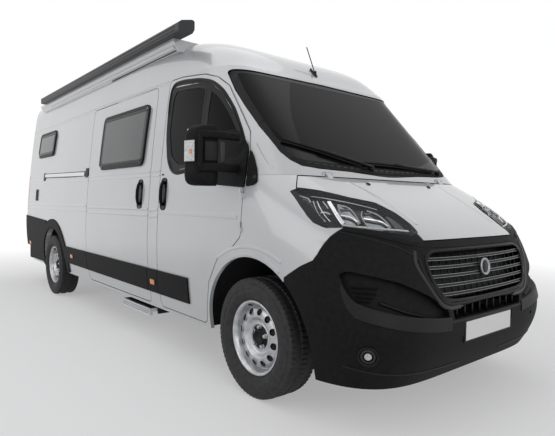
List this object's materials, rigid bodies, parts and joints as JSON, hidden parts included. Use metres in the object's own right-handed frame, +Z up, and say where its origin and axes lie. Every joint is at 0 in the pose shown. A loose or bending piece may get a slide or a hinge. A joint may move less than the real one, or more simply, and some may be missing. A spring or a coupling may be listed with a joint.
{
  "type": "camper van",
  "caption": "High-roof camper van on a long panel van, hollow inside, with hinged cab and rear doors, bonnet, steered front wheels and a slide-out step.",
  "frame": {"origin": "middle of the van's box at ground level", "axes": "+Z up, -Y towards the front of the van, -X towards its right-hand side, where the sliding door is"},
  "size_m": [2.5694, 6.3626, 2.575],
  "materials": {
    "body_paint": "light grey gloss paint",
    "black_plastic": "textured black moulding",
    "gloss_black": "gloss black",
    "lamp_clear": "clear lamp cover",
    "lamp_red": "red lamp cover",
    "window_glass": "tinted glass",
    "acrylic": "dark acrylic pane",
    "chassis_steel": "black chassis coating",
    "wheel_steel": "silver paint",
    "tyre_rubber": "black rubber",
    "hub_iron": "cast",
    "awning_case": "anthracite paint",
    "aluminium": "anodised",
    "cab_plastic": "dark grain",
    "seat_cloth": "dark cloth",
    "furniture_board": "light laminate",
    "mattress": "light cloth"
  },
  "bodies": {
    "van": {"body_side_right": "body_paint", "body_side_left": "body_paint", "roof": "body_paint", "cab_frame": "body_paint", "firewall": "chassis_steel", "front_wings": "body_paint", "front_bumper": "black_plastic", "grille": "gloss_black", "headlamps": "lamp_clear", "windscreen": "window_glass", "sliding_door": "body_paint", "tail_lamps": "lamp_red", "camper_windows": "acrylic", "side_strips": "black_plastic", "underbody": "chassis_steel", "front_wheel_housings": "black_plastic", "rear_wheel_housings": "black_plastic", "rear_bumper": "black_plastic", "awning": "awning_case", "antenna": "gloss_black", "roof_hatches": "acrylic", "front_axle": "chassis_steel", "engine": "hub_iron", "rear_axle": "chassis_steel", "exhaust": "chassis_steel", "fuel_tank": "black_plastic", "waste_tank": "black_plastic", "step_frame": "chassis_steel", "dashboard": "cab_plastic", "steering_wheel": "cab_plastic", "cab_seats": "seat_cloth", "furniture": "furniture_board", "mattress": "mattress"},
    "bonnet": {"bonnet": "body_paint"},
    "cab_door_right": {"cab_door_right": "body_paint", "cab_glass_right": "window_glass", "mirror_right": "black_plastic", "cab_strip_right": "black_plastic"},
    "rear_door_right": {"rear_door_right": "body_paint", "rear_glass_right": "window_glass"},
    "knuckle_right": {"knuckle_right": "hub_iron"},
    "cab_door_left": {"cab_door_left": "body_paint", "cab_glass_left": "window_glass", "mirror_left": "black_plastic", "cab_strip_left": "black_plastic"},
    "rear_door_left": {"rear_door_left": "body_paint", "rear_glass_left": "window_glass"},
    "knuckle_left": {"knuckle_left": "hub_iron"},
    "wheel_front_right": {"rim_front_right": "wheel_steel", "tyre_front_right": "tyre_rubber"},
    "wheel_front_left": {"rim_front_left": "wheel_steel", "tyre_front_left": "tyre_rubber"},
    "wheel_rear_right": {"rim_rear_right": "wheel_steel", "tyre_rear_right": "tyre_rubber"},
    "wheel_rear_left": {"rim_rear_left": "wheel_steel", "tyre_rear_left": "tyre_rubber"},
    "step": {"step_tread": "aluminium"}
  },
  "joints": [
    {"name": "cab_door_right", "type": "hinge", "parent": "van", "child": "cab_door_right", "pos_m": [-1.027, -2.1355, 1.2], "axis": [0, 0, 1], "range_deg": [0, 70]},
    {"name": "rear_door_right", "type": "hinge", "parent": "van", "child": "rear_door_right", "pos_m": [-0.785, 3.1415, 1.3], "axis": [0, 0, 1], "range_deg": [0, 180]},
    {"name": "steer_right", "type": "hinge", "parent": "van", "child": "knuckle_right", "pos_m": [-0.74, -2.2335, 0.36], "axis": [0, 0, 1], "range_deg": [-35, 35]},
    {"name": "wheel_front_right", "type": "hinge", "parent": "knuckle_right", "child": "wheel_front_right", "pos_m": [-0.9, -2.2335, 0.36], "axis": [1, 0, 0], "continuous": true},
    {"name": "wheel_rear_right", "type": "hinge", "parent": "van", "child": "wheel_rear_right", "pos_m": [-0.9, 1.8015, 0.36], "axis": [1, 0, 0], "continuous": true},
    {"name": "cab_door_left", "type": "hinge", "parent": "van", "child": "cab_door_left", "pos_m": [1.027, -2.1355, 1.2], "axis": [0, 0, -1], "range_deg": [0, 70]},
    {"name": "rear_door_left", "type": "hinge", "parent": "van", "child": "rear_door_left", "pos_m": [0.785, 3.1415, 1.3], "axis": [0, 0, -1], "range_deg": [0, 180]},
    {"name": "steer_left", "type": "hinge", "parent": "van", "child": "knuckle_left", "pos_m": [0.74, -2.2335, 0.36], "axis": [0, 0, 1], "range_deg": [-35, 35]},
    {"name": "wheel_front_left", "type": "hinge", "parent": "knuckle_left", "child": "wheel_front_left", "pos_m": [0.9, -2.2335, 0.36], "axis": [1, 0, 0], "continuous": true},
    {"name": "wheel_rear_left", "type": "hinge", "parent": "van", "child": "wheel_rear_left", "pos_m": [0.9, 1.8015, 0.36], "axis": [1, 0, 0], "continuous": true},
    {"name": "bonnet", "type": "hinge", "parent": "van", "child": "bonnet", "pos_m": [0, -2.4435, 1.345], "axis": [-1, 0, 0], "range_deg": [0, 50]},
    {"name": "step_slide", "type": "slide", "parent": "van", "child": "step", "axis": [-1, 0, 0], "range_m": [0, 0.2]}
  ],
  "couplings": [
    {"joint": "steer_left", "follows": "steer_right", "ratio": 1}
  ]
}
